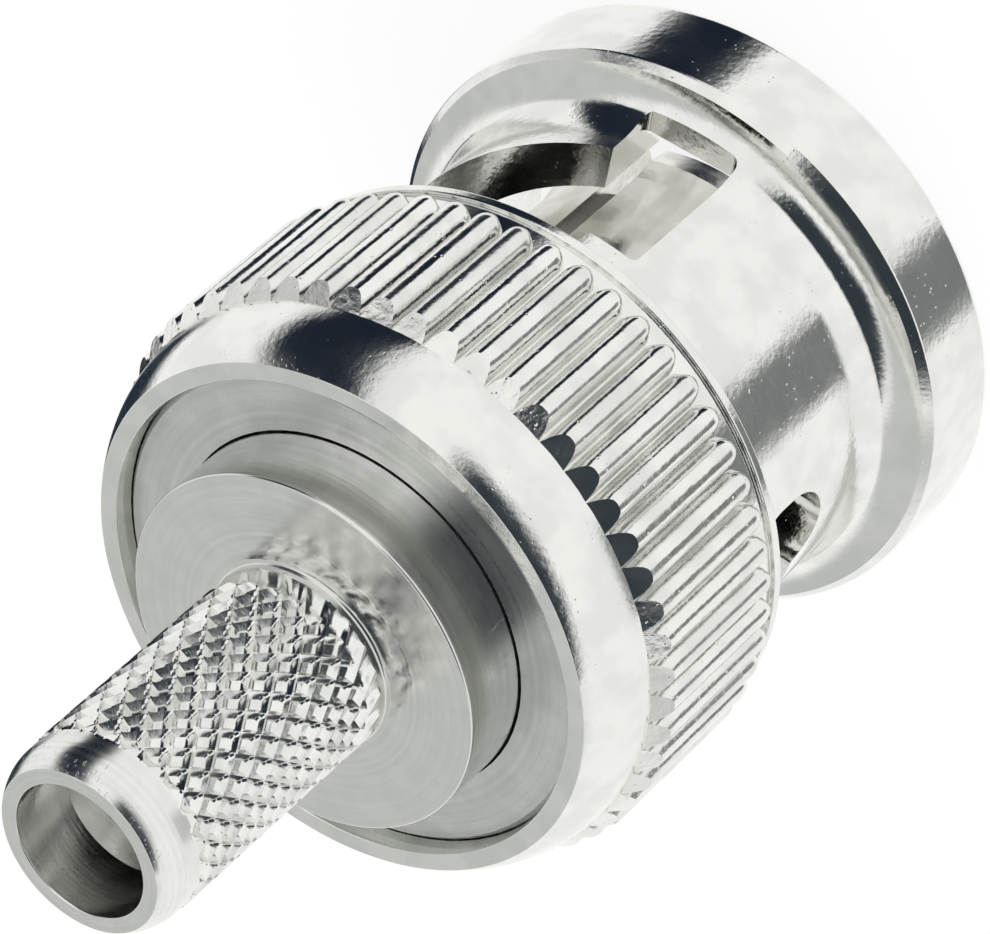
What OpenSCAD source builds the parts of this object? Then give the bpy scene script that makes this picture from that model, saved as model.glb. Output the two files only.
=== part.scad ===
// Crimp coaxial plug with a bayonet coupling nut.
// It stands on its mating face, the crimp stem pointing up along +Z.
// Sizes are in millimetres, angles in degrees.

/* [Coupling nut] */
// Length of the nut from the mating face to its rear lip
nut_len = 15.0; // [14.9:0.05:15.6]
// Outside diameter of the front flange
flange_d = 14.5; // [14.2:0.1:15.2]
// Thickness of the front flange at its rim
flange_t = 2.4; // [2.1:0.1:2.6]
// Diameter of the neck between flange and grip
neck_d = 12.0; // [11.8:0.05:12.2]
// Bore that slides over the mating jack
jack_bore_d = 9.8; // [9.75:0.01:9.9]
// Length of the grip
grip_len = 5.0; // [4.6:0.1:5.1]
// Length of the rounded bevel between the grip and the rear lip
bevel_len = 1.7; // [1.5:0.05:1.9]
// Diameter at the bottom of the grip's grooves
grip_root_d = 13.96; // [13.8:0.02:14.1]
// Diameter of the plain rim in front of the ribs
grip_rim_d = 14.18; // [14.12:0.02:14.3]
// Outside diameter of the rear lip
lip_d = 12.84; // [12.7:0.02:13.0]

/* [Grip ribs] */
// Number of ribs round the grip
rib_count = 54; // [44:2:60]
// Height of a rib above the bottom of the grooves
rib_h = 0.38; // [0.3:0.01:0.45]
// Width of a rib along its flat top
rib_top_w = 0.44; // [0.36:0.01:0.5]
// Width left between two ribs at the bottom of a groove
groove_floor_w = 0.07; // [0.05:0.01:0.12]

/* [Bayonet] */
// Width of the entry channel for a jack stud
entry_w = 2.5; // [2.3:0.05:2.6]
// Distance from the mating face to a locked stud
lock_z = 6.07; // [5.95:0.01:6.15]
// Diameter of the detent that holds the locked stud
detent_d = 2.4; // [2.2:0.05:2.5]
// Depth of the detent in front of the end of the cam
detent_depth = 0.98; // [0.8:0.01:1.05]
// Distance that the cam pulls a stud along in its turn
cam_lead = 2.14; // [1.9:0.02:2.3]
// Room behind a locked stud, for the push that unlocks it
unlock_play = 0.43; // [0.35:0.01:0.5]

/* [Body] */
// Depth of the nut's inner shoulder, where the body's flange rests, from the rear lip
seat_depth = 3.0; // [2.96:0.02:3.1]
// Thickness of the body's flange
body_flange_t = 0.8; // [0.7:0.02:0.84]
// Diameter of the boss behind the nut
boss_d = 8.94; // [8.8:0.02:9.1]
// Length of the boss that stands out of the nut
boss_out = 1.34; // [1.1:0.02:1.8]
// Thickness of the wall between boss and stem
boss_wall = 1.14; // [0.9:0.02:1.3]

/* [Crimp stem] */
// Length of the stem behind the boss
stem_len = 7.76; // [7.1:0.02:9.6]
// Bore of the stem, for the cable's dielectric
stem_bore_d = 3.3; // [3.1:0.05:3.5]
// Diameter of the plain parts of the stem
stem_d = 4.56; // [4.5:0.02:4.7]
// Diameter at the open end of the stem
stem_end_d = 4.04; // [3.96:0.02:4.2]
// Length of the rounded lead-in at the open end
stem_nose = 0.8; // [0.6:0.05:0.9]
// Plain length behind the open end, before the diamond knurl
knurl_start = 1.2; // [1.05:0.05:1.4]
// Ridges round the stem in each direction
knurl_starts = 24; // [20:1:28]
// Rows of ridge crossings along the stem
knurl_rows = 14; // [10:1:14]
// Depth of the knurl's pits below the plain stem
knurl_depth = 0.13; // [0.1:0.01:0.14]
// Height of the knurl's ridges above the plain stem
knurl_rise = 0.03; // [0.01:0.01:0.06]
// Slant of the right-hand ridges from the stem's axis
knurl_right = 39; // [35:0.5:42]
// Slant of the left-hand ridges from the stem's axis
knurl_left = 32.5; // [30:0.5:36]

/* [Outer contact] */
// Outside diameter of the sleeve
sleeve_d = 8.1; // [8.0:0.02:8.14]
// Diameter of the sleeve's root, which carries the gasket
sleeve_root_d = 8.6; // [8.6:0.02:8.7]
// Bore of the sleeve
sleeve_bore_d = 7.0; // [6.9:0.02:7.1]
// Distance from the mating face to the tips of the spring fingers
finger_z = 0.9; // [0.7:0.05:1.3]
// Number of slots that make the spring fingers
slot_count = 4; // [4:1:6]
// Width of a slot
slot_w = 0.6; // [0.4:0.05:0.8]
// Length of a slot
slot_len = 6.6; // [5:0.1:8]
// Height of the contact bead at the tips
bead_h = 0.1; // [0.06:0.01:0.12]
// Diameter of the shank pressed into the body
shank_d = 7.6; // [7.5:0.02:7.62]
// Length of the shank
shank_len = 2.2; // [1.8:0.05:2.4]

/* [Insulator and centre contact] */
// Distance from the mating face to the insulator's front
insulator_z = 2.1; // [1.8:0.05:2.6]
// Bore of the insulator's front socket
socket_d = 4.84; // [4.7:0.02:5.0]
// Distance from the mating face to the pin's tip
pin_z = 1.8; // [1.5:0.05:2.4]
// Diameter of the pin
pin_d = 1.35; // [1.32:0.01:1.37]
// Diameter of the pin's root inside the insulator
pin_root_d = 1.9; // [1.9:0.05:2.1]
// Length of the pin's root, from the floor of the socket to the barrel
pin_root_len = 1.2; // [0.8:0.05:1.6]
// Diameter of the contact's crimp barrel
barrel_d = 2.2; // [2.0:0.05:2.3]
// Length of the crimp barrel
barrel_len = 5.4; // [5:0.05:5.6]
// Bore of the crimp barrel, for the cable's centre conductor
barrel_bore_d = 1.0; // [0.9:0.05:1.2]

/* [Washers and gasket] */
// Thickness of the retaining ring pressed into the nut
ring_t = 0.5; // [0.4:0.02:0.6]
// Depth of the retaining ring's face inside the rear lip
ring_recess = 0.46; // [0.4:0.02:0.6]
// Thickness of the thrust washer
thrust_t = 0.25; // [0.2:0.01:0.3]
// Thickness of a wave washer's strip
wave_t = 0.2; // [0.15:0.01:0.22]
// Number of waves round a wave washer
wave_count = 3; // [3:1:4]
// Length of the gasket
gasket_t = 0.9; // [0.7:0.05:1.2]

/* [Clearances] */
// Gap between the retaining ring and the boss, on the radius
ring_play = 0.05; // [0.04:0.01:0.07]
// Gap between turning parts, on the radius
turn_gap = 0.08; // [0.06:0.01:0.09]
// Gap between parts that are pressed together, on the radius
press_gap = 0.02; // [0.01:0.01:0.03]

/* [Hidden] */
$fn = 96;
cut = 0.5;                  // how far a cutter runs past the face that it opens
lap = 0.2;                  // how deep a joined form reaches into its neighbour
edge = 0.12;                // small turned chamfer

flange_r = flange_d / 2;
neck_r = neck_d / 2;
jack_bore_r = jack_bore_d / 2;
grip_end = nut_len - bevel_len;
grip_z = grip_end - grip_len;
seat_z = nut_len - seat_depth;
root_r = grip_root_d / 2;
rib_top_r = root_r + rib_h;
rim_r = grip_rim_d / 2;
rim_w = 0.26;               // width of the plain rim
rib_margin = 0.48;          // from the front of the grip to the ribs' round ends
rib_end_gap = 0.04;         // from the ribs' rear ends to the end of the grip
rib_chamfer_w = 0.34;       // length of the chamfer at a rib's rear end
rib_chamfer_h = 0.2;        // height of that chamfer
lip_r = lip_d / 2;
rim_bevel = 0.19;           // bevel on the flange's rear rim
dish_r = 1.3;               // radius of the dished rear of the flange
dish_h = 0.41;              // height of the dished rear
fillet_w = 0.22;            // width of the neck's fillet
fillet_h = 0.9;             // length of the neck's fillet
collar_r = neck_r + fillet_w;   // where the fillet meets the dished rear
collar_z = flange_t + dish_h;

lip_wall = 0.42;            // wall of the rear lip round the retaining ring
shoulder_w = 0.6;           // width of the nut's shoulder in front of the body's flange

ring_z = nut_len - ring_recess - ring_t;
ring_seat_r = lip_r - lip_wall;
boss_end = nut_len + boss_out;
stem_end = boss_end + stem_len;
boss_r = boss_d / 2;
cavity_r = jack_bore_r + shoulder_w;
flange_top = seat_z + body_flange_t;
washer_r = cavity_r - turn_gap;
washer_hole_r = boss_r + 1.5 * turn_gap;
wave_room = (ring_z - thrust_t - flange_top) / 2;

window_sink = 0.1;          // from the front edge of the stud's window to the collar
window_z = collar_z - window_sink;
entry_end_z = lock_z + detent_d / 2 - unlock_play;
slot_back_z = lock_z + detent_d / 2 + unlock_play;
groove_skin = 0.35;         // from the bottom of an entry groove to the neck's surface
groove_r = neck_r - groove_skin;
cam_step = 3;               // angle from one row of the cam's facets to the next

stem_r = stem_d / 2;
knurl_low = stem_r - knurl_depth;
knurl_high = stem_r + knurl_rise;
core_depth = 0.05;          // from the floors of the knurl's pits to the stem's core
knurl_core = knurl_low - core_depth;
knurl_pitch = 360 / knurl_starts;
turn_right = tan(knurl_right) / stem_r * 180 / PI;
turn_left = tan(knurl_left) / stem_r * 180 / PI;
knurl_dz = knurl_pitch / (turn_right + turn_left);
knurl_top = stem_end - knurl_start;
knurl_bottom = knurl_top - knurl_rows * knurl_dz;
pit_floor = 0.55;           // share of a pit that its flat floor takes
knurl_lap = 0.02;           // how far the plain stem runs over the knurl's ends

sleeve_r = sleeve_d / 2;
sleeve_bore_r = sleeve_bore_d / 2;
sleeve_root_r = sleeve_root_d / 2;
root_lead = 0.2;            // how far the sleeve's root reaches past the gasket
root_z = seat_z - gasket_t - root_lead;
shank_r = shank_d / 2;
shank_end = seat_z + shank_len;
body_bore_end = boss_end - boss_wall;
insulator_r = sleeve_bore_r - press_gap;
barrel_setback = 0.6;       // from the barrel's end to the end of the insulator
barrel_z = body_bore_end - barrel_setback - barrel_len;
socket_end = barrel_z - pin_root_len;
barrel_floor = 1.4;         // solid length in front of the barrel's bore
sight_hole_d = 0.5;         // hole through which the soldered or crimped wire is seen
sight_hole_z = 1.8;         // from the front of the barrel to its sight hole
bead_len = 0.75;            // from the tips to the bead's crest
bead_taper = 0.6;           // length over which the bead falls to the sleeve
slot_turn = 25;             // angle from +X to the first slot
gasket_gap = 0.05;          // gap between the gasket and the walls beside it

// Centre of the circle of radius r through p and q, on the right going from p to q.
function arc_centre(p, q, r) =
    let (d = q - p, s = sqrt(r * r / (d * d) - 0.25))
    (p + q) / 2 + s * [d[1], -d[0]];

// Radius of an arc that leaves a line at a tangent, runs h along it and w away from it.
function tangent_radius(w, h) = (w * w + h * h) / (2 * w);

// Point at angle a, radius r and height z.
function polar(a, r, z) = [r * cos(a), r * sin(a), z];

// Edge of the cam that carries the stud, at angle a before the detent.
function cam_z(a) = lock_z - detent_d / 2 + detent_depth + cam_lead * a / 90;

module tube(r_out, r_in, z0, z1) {
    rotate_extrude()
        translate([r_in, z0])
            square([r_out - r_in, z1 - z0]);
}

// ---- coupling nut

module flange_profile() {
    rear = [flange_r - rim_bevel, flange_t];
    past_rear = rear + [-edge, edge];
    difference() {
        polygon([
            [0, 0], [flange_r - edge, 0], [flange_r, edge], [flange_r, flange_t - rim_bevel],
            past_rear, [past_rear[0], collar_z + edge], [0, collar_z + edge]
        ]);
        translate(arc_centre(rear, [collar_r, collar_z], dish_r))
            circle(dish_r);
    }
}

module neck_profile() {
    fillet_r = tangent_radius(fillet_w, fillet_h);
    difference() {
        translate([0, collar_z - edge])
            square([collar_r + lap, fillet_h + edge]);
        translate([neck_r + fillet_r, collar_z + fillet_h])
            circle(fillet_r);
    }
    translate([0, collar_z])
        square([neck_r, grip_z - collar_z + lap]);
}

module grip_profile() {
    bevel_r = tangent_radius(root_r - lip_r, bevel_len);
    translate([0, grip_z])
        square([root_r, grip_len]);
    translate([0, grip_z])
        square([rim_r, rim_w]);
    intersection() {
        translate([0, grip_end - lap])
            square([root_r, bevel_len + lap]);
        union() {
            translate([root_r - bevel_r, grip_end])
                circle(bevel_r);
            translate([0, grip_end - lap])
                square([root_r, lap]);
        }
    }
}

module nut_bore_profile() {
    translate([0, -cut])
        square([jack_bore_r, seat_z + cut + lap]);
    polygon([[0, -cut], [jack_bore_r + edge + cut, -cut], [jack_bore_r, edge], [0, edge]]);
    translate([0, seat_z])
        square([cavity_r, ring_z - seat_z + lap]);
    translate([0, ring_z])
        square([ring_seat_r, nut_len - ring_z + cut]);
}

// One rib: a flat-topped wedge, round at the front and chamfered at the rear.
module rib() {
    root_w = 2 * PI * root_r / rib_count - groove_floor_w;
    deep = root_r - lap;
    z0 = grip_z + rib_margin;
    mid = z0 + root_w / 2;
    tip = grip_end - rib_end_gap;
    intersection() {
        translate([0, 0, z0 - cut])
            linear_extrude(grip_end - z0 + 2 * cut)
                polygon([
                    [deep, -root_w / 2], [root_r, -root_w / 2], [rib_top_r, -rib_top_w / 2],
                    [rib_top_r, rib_top_w / 2], [root_r, root_w / 2], [deep, root_w / 2]
                ]);
        rotate([90, 0, 90])
            linear_extrude(rib_top_r + cut)
                union() {
                    translate([0, mid])
                        circle(root_w / 2, $fn = 24);
                    translate([-root_w / 2, mid])
                        square([root_w, tip - mid]);
                }
        rotate([90, 0, 0])
            linear_extrude(2 * root_w, center = true)
                polygon([
                    [deep - cut, z0 - cut], [rib_top_r + cut, z0 - cut],
                    [rib_top_r + cut, tip - rib_chamfer_w], [rib_top_r, tip - rib_chamfer_w],
                    [rib_top_r - rib_chamfer_h, tip], [rib_top_r - rib_chamfer_h, tip + cut],
                    [deep - cut, tip + cut]
                ]);
    }
}

// One stud's way in: a groove through the flange, a channel in the neck and the cam slot.
module stud_way() {
    rotate(-90) {
        translate([0, -entry_w / 2, -cut])
            cube([groove_r, entry_w, window_z + 2 * cut]);
        translate([0, -entry_w / 2, window_z])
            cube([flange_r + cut, entry_w, entry_end_z - window_z]);
    }
    intersection() {
        cam_cutter();
        translate([0, 0, cam_z(-90) - cut])
            cylinder(h = slot_back_z - cam_z(-90) + cut, r = flange_r);
    }
    rotate([90, 0, 90])
        linear_extrude(flange_r + cut) {
            translate([0, lock_z])
                circle(detent_d / 2);
            translate([0, slot_back_z - detent_d / 2])
                circle(detent_d / 2);
            translate([-detent_d / 2, lock_z])
                square([detent_d, slot_back_z - detent_d / 2 - lock_z]);
        }
}

// Wedge in front of which the cam's edge stays: its lower faces follow cam_z.
module cam_cutter() {
    n = 90 / cam_step;
    r0 = jack_bore_r - lap;
    r1 = flange_r + cut;
    top = slot_back_z + cut;
    points = [
        for (i = [0:n])
            let (a = i * cam_step - 90)
            each [polar(a, r0, cam_z(a)), polar(a, r1, cam_z(a)), polar(a, r1, top), polar(a, r0, top)]
    ];
    sides = [
        for (i = [0:n - 1], k = [0:3])
            let (p = 4 * i + k, q = 4 * i + (k + 1) % 4)
            each [[p, q, q + 4], [p, q + 4, p + 4]]
    ];
    polyhedron(points, concat([[3, 2, 1, 0]], sides, [[4 * n, 4 * n + 1, 4 * n + 2, 4 * n + 3]]));
}

module coupling_nut() {
    color("silver")
        difference() {
            union() {
                rotate_extrude()
                    difference() {
                        union() {
                            flange_profile();
                            neck_profile();
                            grip_profile();
                        }
                        nut_bore_profile();
                    }
                for (i = [0:rib_count - 1])
                    rotate(i * 360 / rib_count)
                        rib();
            }
            for (a = [0, 180])
                rotate(a)
                    stud_way();
        }
}

// ---- what holds the nut on the body

module retaining_ring() {
    r = ring_seat_r - press_gap;
    hole = boss_r + ring_play;
    color("gainsboro")
        rotate_extrude()
            polygon([
                [hole, ring_z], [r, ring_z], [r, ring_z + ring_t - edge], [r - edge, ring_z + ring_t],
                [hole, ring_z + ring_t]
            ]);
}

module thrust_washer() {
    color("lightsteelblue")
        tube(washer_r, washer_hole_r, ring_z - thrust_t, ring_z);
}

// A flat strip bent into waves round the axis, filling the height room from z0 up.
module wave_washer(z0) {
    n = 24 * wave_count;
    rise = (wave_room - wave_t) / 2;
    function mid(a) = z0 + wave_room / 2 + rise * sin(wave_count * a);
    points = [
        for (i = [0:n - 1])
            let (a = i * 360 / n, low = mid(a) - wave_t / 2, high = mid(a) + wave_t / 2)
            each [
                polar(a, washer_hole_r, low), polar(a, washer_r, low),
                polar(a, washer_r, high), polar(a, washer_hole_r, high)
            ]
    ];
    faces = [
        for (i = [0:n - 1], k = [0:3])
            let (p = 4 * i + k, q = 4 * i + (k + 1) % 4, s = 4 * ((i + 1) % n))
            each [[p, q, s + (k + 1) % 4], [p, s + (k + 1) % 4, s + k]]
    ];
    polyhedron(points, faces);
}

module wave_washer_rear() {
    color("darkgray")
        wave_washer(flange_top + wave_room);
}

module wave_washer_front() {
    color("gray")
        wave_washer(flange_top);
}

// ---- body

// Pits between two sets of ridges, closed at both ends.
// Ridge crossings sit in rows; a pit spans two rows, and half a pit closes each end.
module diamond_knurl() {
    n = knurl_starts;
    rows = knurl_rows;
    function turn(j, i) = turn_right * j * knurl_dz + knurl_pitch * i;
    function height(j) = knurl_bottom + j * knurl_dz;
    function crest(j, i) = [turn(j, i), knurl_high, height(j)];
    // the floor's corner, on the way from the pit's middle to a crossing
    function deep(mid, p) = [
        mid[0] + pit_floor * (p[0] - mid[0]), knurl_low, mid[1] + pit_floor * (p[2] - mid[1])
    ];
    function middle(j, i) = [turn(j, i) + (turn_right - turn_left) * knurl_dz / 2, height(j + 1)];
    // crossings, then four floor corners of each pit, then three of each half pit
    crossings = [for (j = [0:rows], i = [0:n - 1]) crest(j, i)];
    floors = [
        for (j = [0:rows - 2], i = [0:n - 1])
            let (m = middle(j, i))
            each [
                deep(m, crest(j, i)), deep(m, crest(j + 1, i)), deep(m, crest(j + 2, i - 1)),
                deep(m, crest(j + 1, i - 1))
            ]
    ];
    bottoms = [
        for (i = [0:n - 1])
            let (m = [turn(0, i) + knurl_pitch / 2, height(0)])
            each [deep(m, crest(0, i)), deep(m, crest(0, i + 1)), deep(m, crest(1, i))]
    ];
    crowns = [
        for (i = [0:n - 1])
            let (m = [turn(rows, i) + knurl_pitch / 2, height(rows)])
            each [deep(m, crest(rows, i)), deep(m, crest(rows, i + 1)), deep(m, crest(rows - 1, i + 1))]
    ];
    floors_at = len(crossings);
    bottoms_at = floors_at + len(floors);
    crowns_at = bottoms_at + len(bottoms);
    centre_at = crowns_at + len(crowns);
    function c(j, i) = j * n + (i + n) % n;
    pits = [
        for (j = [0:rows - 2], i = [0:n - 1])
            let (
                t = floors_at + 4 * (j * n + i),
                ring = [c(j, i), c(j + 1, i), c(j + 2, i - 1), c(j + 1, i - 1)]
            )
            each concat(
                [[t, t + 2, t + 1], [t, t + 3, t + 2]],
                [for (k = [0:3]) each [
                    [ring[k], t + k, t + (k + 1) % 4], [ring[k], t + (k + 1) % 4, ring[(k + 1) % 4]]
                ]]
            )
    ];
    foot = [
        for (i = [0:n - 1])
            let (t = bottoms_at + 3 * i, p = c(0, i), q = c(0, i + 1), s = c(1, i))
            each [
                [t, t + 2, t + 1], [p, s, t + 2], [p, t + 2, t], [s, q, t + 1], [s, t + 1, t + 2],
                [centre_at, p, t], [centre_at, t, t + 1], [centre_at, t + 1, q]
            ]
    ];
    head = [
        for (i = [0:n - 1])
            let (t = crowns_at + 3 * i, p = c(rows, i), q = c(rows, i + 1), s = c(rows - 1, i + 1))
            each [
                [t, t + 1, t + 2], [p, t, t + 2], [p, t + 2, s], [s, t + 2, t + 1], [s, t + 1, q],
                [centre_at + 1, t, p], [centre_at + 1, t + 1, t], [centre_at + 1, q, t + 1]
            ]
    ];
    points = [
        for (p = concat(crossings, floors, bottoms, crowns)) polar(p[0], p[1], p[2]),
        [0, 0, height(0)], [0, 0, height(rows)]
    ];
    polyhedron(points, concat(pits, foot, head));
}

module body_outline() {
    nose_r = tangent_radius(stem_r - stem_end_d / 2, stem_nose);
    translate([0, seat_z])
        square([cavity_r - turn_gap, body_flange_t]);
    polygon([
        [0, seat_z], [boss_r, seat_z], [boss_r, boss_end - edge / 2], [boss_r - edge / 2, boss_end],
        [0, boss_end]
    ]);
    difference() {
        translate([0, boss_end - lap])
            square([stem_r + edge, lap + edge]);
        translate([stem_r + edge, boss_end + edge])
            circle(edge);
    }
    translate([0, boss_end - lap])
        square([stem_r, knurl_bottom + knurl_lap - boss_end + lap]);
    translate([0, boss_end - lap])
        square([knurl_core, stem_end - stem_nose - boss_end + lap]);
    translate([0, knurl_top - knurl_lap])
        square([stem_r, knurl_start - stem_nose + knurl_lap]);
    intersection() {
        translate([0, stem_end - stem_nose - knurl_lap])
            square([stem_r, stem_nose + knurl_lap]);
        union() {
            translate([stem_r - nose_r, stem_end - stem_nose])
                circle(nose_r);
            translate([0, stem_end - stem_nose - knurl_lap])
                square([stem_r, knurl_lap]);
        }
    }
}

module connector_body() {
    color("silver")
        difference() {
            union() {
                rotate_extrude()
                    body_outline();
                diamond_knurl();
            }
            translate([0, 0, seat_z - cut])
                cylinder(h = shank_len + cut, r = shank_r + press_gap);
            translate([0, 0, seat_z])
                cylinder(h = body_bore_end - seat_z, r = sleeve_bore_r);
            cylinder(h = stem_end + cut, d = stem_bore_d);
        }
}

module outer_contact() {
    tip = finger_z + edge;
    bead_end = finger_z + bead_len;
    taper_end = bead_end + bead_taper;
    color("lightgray")
        difference() {
            rotate_extrude()
                polygon([
                    [sleeve_bore_r + edge, finger_z], [sleeve_r - edge, finger_z],
                    [sleeve_r, tip], [sleeve_r + bead_h, bead_end], [sleeve_r, taper_end],
                    [sleeve_r, root_z - edge], [sleeve_root_r, root_z], [sleeve_root_r, seat_z],
                    [shank_r, seat_z], [shank_r, shank_end],
                    [sleeve_bore_r, shank_end], [sleeve_bore_r, tip]
                ]);
            for (i = [0:slot_count - 1])
                rotate(i * 360 / slot_count + slot_turn)
                    slot_cutter();
        }
}

module slot_cutter() {
    end_z = finger_z + slot_len - slot_w / 2;
    translate([0, -slot_w / 2, finger_z - cut])
        cube([sleeve_r + cut, slot_w, end_z - finger_z + cut]);
    translate([0, 0, end_z])
        rotate([0, 90, 0])
            cylinder(h = sleeve_r + cut, d = slot_w, $fn = 32);
}

module insulator() {
    pin_hole = pin_root_d / 2 + press_gap;
    barrel_hole = barrel_d / 2 + press_gap;
    color("whitesmoke")
        rotate_extrude()
            polygon([
                [socket_d / 2, insulator_z], [insulator_r - edge, insulator_z],
                [insulator_r, insulator_z + edge], [insulator_r, body_bore_end],
                [barrel_hole, body_bore_end], [barrel_hole, barrel_z], [pin_hole, barrel_z],
                [pin_hole, socket_end], [socket_d / 2, socket_end]
            ]);
}

module centre_contact() {
    pin_r = pin_d / 2;
    color("gold")
        difference() {
            union() {
                translate([0, 0, pin_z + pin_r])
                    sphere(pin_r);
                translate([0, 0, pin_z + pin_r])
                    cylinder(h = barrel_z - pin_z - pin_r, r = pin_r);
                translate([0, 0, socket_end])
                    cylinder(h = barrel_z - socket_end + lap, d = pin_root_d);
                translate([0, 0, barrel_z])
                    cylinder(h = barrel_len, d = barrel_d);
            }
            translate([0, 0, barrel_z + barrel_floor])
                cylinder(h = barrel_len, d = barrel_bore_d);
            translate([0, 0, barrel_z + sight_hole_z])
                rotate([90, 0, 0])
                    cylinder(h = barrel_d, d = sight_hole_d);
        }
}

module gasket() {
    color("dimgray")
        tube(jack_bore_r - gasket_gap, sleeve_root_r + gasket_gap, seat_z - gasket_t, seat_z);
}

coupling_nut();
retaining_ring();
thrust_washer();
wave_washer_rear();
wave_washer_front();
connector_body();
outer_contact();
insulator();
centre_contact();
gasket();
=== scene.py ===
"""Looks of a crimp coaxial plug with a bayonet coupling nut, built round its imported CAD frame."""

from __future__ import annotations

import logging
import math
from dataclasses import dataclass
from enum import Enum

import bmesh
import bpy
from mathutils import Matrix, Vector


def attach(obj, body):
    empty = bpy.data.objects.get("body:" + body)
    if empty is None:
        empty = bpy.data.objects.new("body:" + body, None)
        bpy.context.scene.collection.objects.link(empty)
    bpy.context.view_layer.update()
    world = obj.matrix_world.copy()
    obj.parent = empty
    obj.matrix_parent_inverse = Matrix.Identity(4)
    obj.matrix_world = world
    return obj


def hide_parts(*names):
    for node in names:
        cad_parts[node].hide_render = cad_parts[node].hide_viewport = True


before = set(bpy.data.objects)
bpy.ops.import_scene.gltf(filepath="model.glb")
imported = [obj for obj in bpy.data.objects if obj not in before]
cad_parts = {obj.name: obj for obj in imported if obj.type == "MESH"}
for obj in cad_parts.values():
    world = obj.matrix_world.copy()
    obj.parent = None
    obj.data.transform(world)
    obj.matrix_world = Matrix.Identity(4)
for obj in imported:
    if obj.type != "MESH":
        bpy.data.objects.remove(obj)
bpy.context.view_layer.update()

log = logging.getLogger("plug")

MM = 0.001
Colour = tuple[float, float, float]
Point = tuple[float, float]


class Nickel(Enum):
    """How a nickel-plated surface was made."""

    CAST = "cast"
    TURNED = "turned"
    DRAWN = "drawn"


# ---------------------------------------------------------------- node trees


class Wiring:
    """Adds nodes to a node tree and links them."""

    def __init__(self, tree: bpy.types.NodeTree) -> None:
        """Args:
            tree: The tree that gets the nodes.
        """
        self.tree = tree

    def add(self, kind: str, inputs: dict[str | int, object] | None = None, **settings: object) -> bpy.types.Node:
        """Adds one node.

        Args:
            kind: The node's type name.
            inputs: Values or output sockets for its input sockets, by name or number.
            **settings: The node's own properties.

        Returns:
            The node.
        """
        node = self.tree.nodes.new(kind)
        for name, value in settings.items():
            setattr(node, name, value)
        for name, value in (inputs or {}).items():
            if isinstance(value, bpy.types.NodeSocket):
                self.tree.links.new(value, node.inputs[name])
            else:
                node.inputs[name].default_value = value
        return node

    def link(self, source: bpy.types.NodeSocket, target: bpy.types.NodeSocket) -> None:
        """Links two sockets."""
        self.tree.links.new(source, target)

    def math(self, operation: str, *values: object, clamp: bool = False) -> bpy.types.NodeSocket:
        """Adds a Math node.

        Args:
            operation: What the node does.
            *values: Numbers or sockets for its inputs.
            clamp: Whether the result stays between 0 and 1.

        Returns:
            The result's socket.
        """
        inputs = dict(enumerate(values))
        return self.add("ShaderNodeMath", inputs, operation=operation, use_clamp=clamp).outputs[0]

    def ramp(self, value: object, low: float, high: float, to_low: float = 0.0, to_high: float = 1.0) -> bpy.types.NodeSocket:
        """Maps a value smoothly from one range to another.

        Args:
            value: The number or socket to map.
            low: Where the change starts.
            high: Where the change ends.
            to_low: Result at low.
            to_high: Result at high.

        Returns:
            The result's socket.
        """
        node = self.add(
            "ShaderNodeMapRange",
            {"From Min": low, "From Max": high, "To Min": to_low, "To Max": to_high, "Value": value},
            interpolation_type="SMOOTHSTEP",
        )
        return node.outputs["Result"]

    def noise(self, vector: bpy.types.NodeSocket, scale: object, detail: float = 2.0) -> bpy.types.NodeSocket:
        """Adds a Noise Texture and gives its value's socket."""
        node = self.add("ShaderNodeTexNoise", {"Vector": vector, "Scale": scale, "Detail": detail})
        return node.outputs["Fac"]


class ShaderGroup:
    """A shader node group that several materials place with their own values."""

    name = "group"
    inputs: dict[str, float] = {}
    outputs: tuple[str, ...] = ()

    def __init__(self) -> None:
        """Builds the group once."""
        self.tree = bpy.data.node_groups.new(self.name, "ShaderNodeTree")
        face = self.tree.interface
        face.new_socket(name="Place", in_out="INPUT", socket_type="NodeSocketVector")
        for socket, value in self.inputs.items():
            face.new_socket(name=socket, in_out="INPUT", socket_type="NodeSocketFloat").default_value = value
        for socket in self.outputs:
            face.new_socket(name=socket, in_out="OUTPUT", socket_type="NodeSocketFloat")
        wiring = Wiring(self.tree)
        start = wiring.add("NodeGroupInput")
        end = wiring.add("NodeGroupOutput")
        results = self.build(wiring, start)
        for socket in self.outputs:
            wiring.link(results[socket], end.inputs[socket])

    def build(self, wiring: Wiring, start: bpy.types.Node) -> dict[str, bpy.types.NodeSocket]:
        """Builds what is inside.

        Args:
            wiring: Adds nodes to the group.
            start: The group's input node.

        Returns:
            The socket for each output's name.
        """
        raise NotImplementedError

    def place(self, wiring: Wiring, place: bpy.types.NodeSocket, **values: float) -> bpy.types.Node:
        """Places the group in a material.

        Args:
            wiring: Adds nodes to the material.
            place: Position in millimetres.
            **values: Values of the group's inputs.

        Returns:
            The group's node.
        """
        node = wiring.add("ShaderNodeGroup", node_tree=self.tree)
        wiring.link(place, node.inputs["Place"])
        for socket, value in values.items():
            node.inputs[socket].default_value = value
        return node


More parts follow.
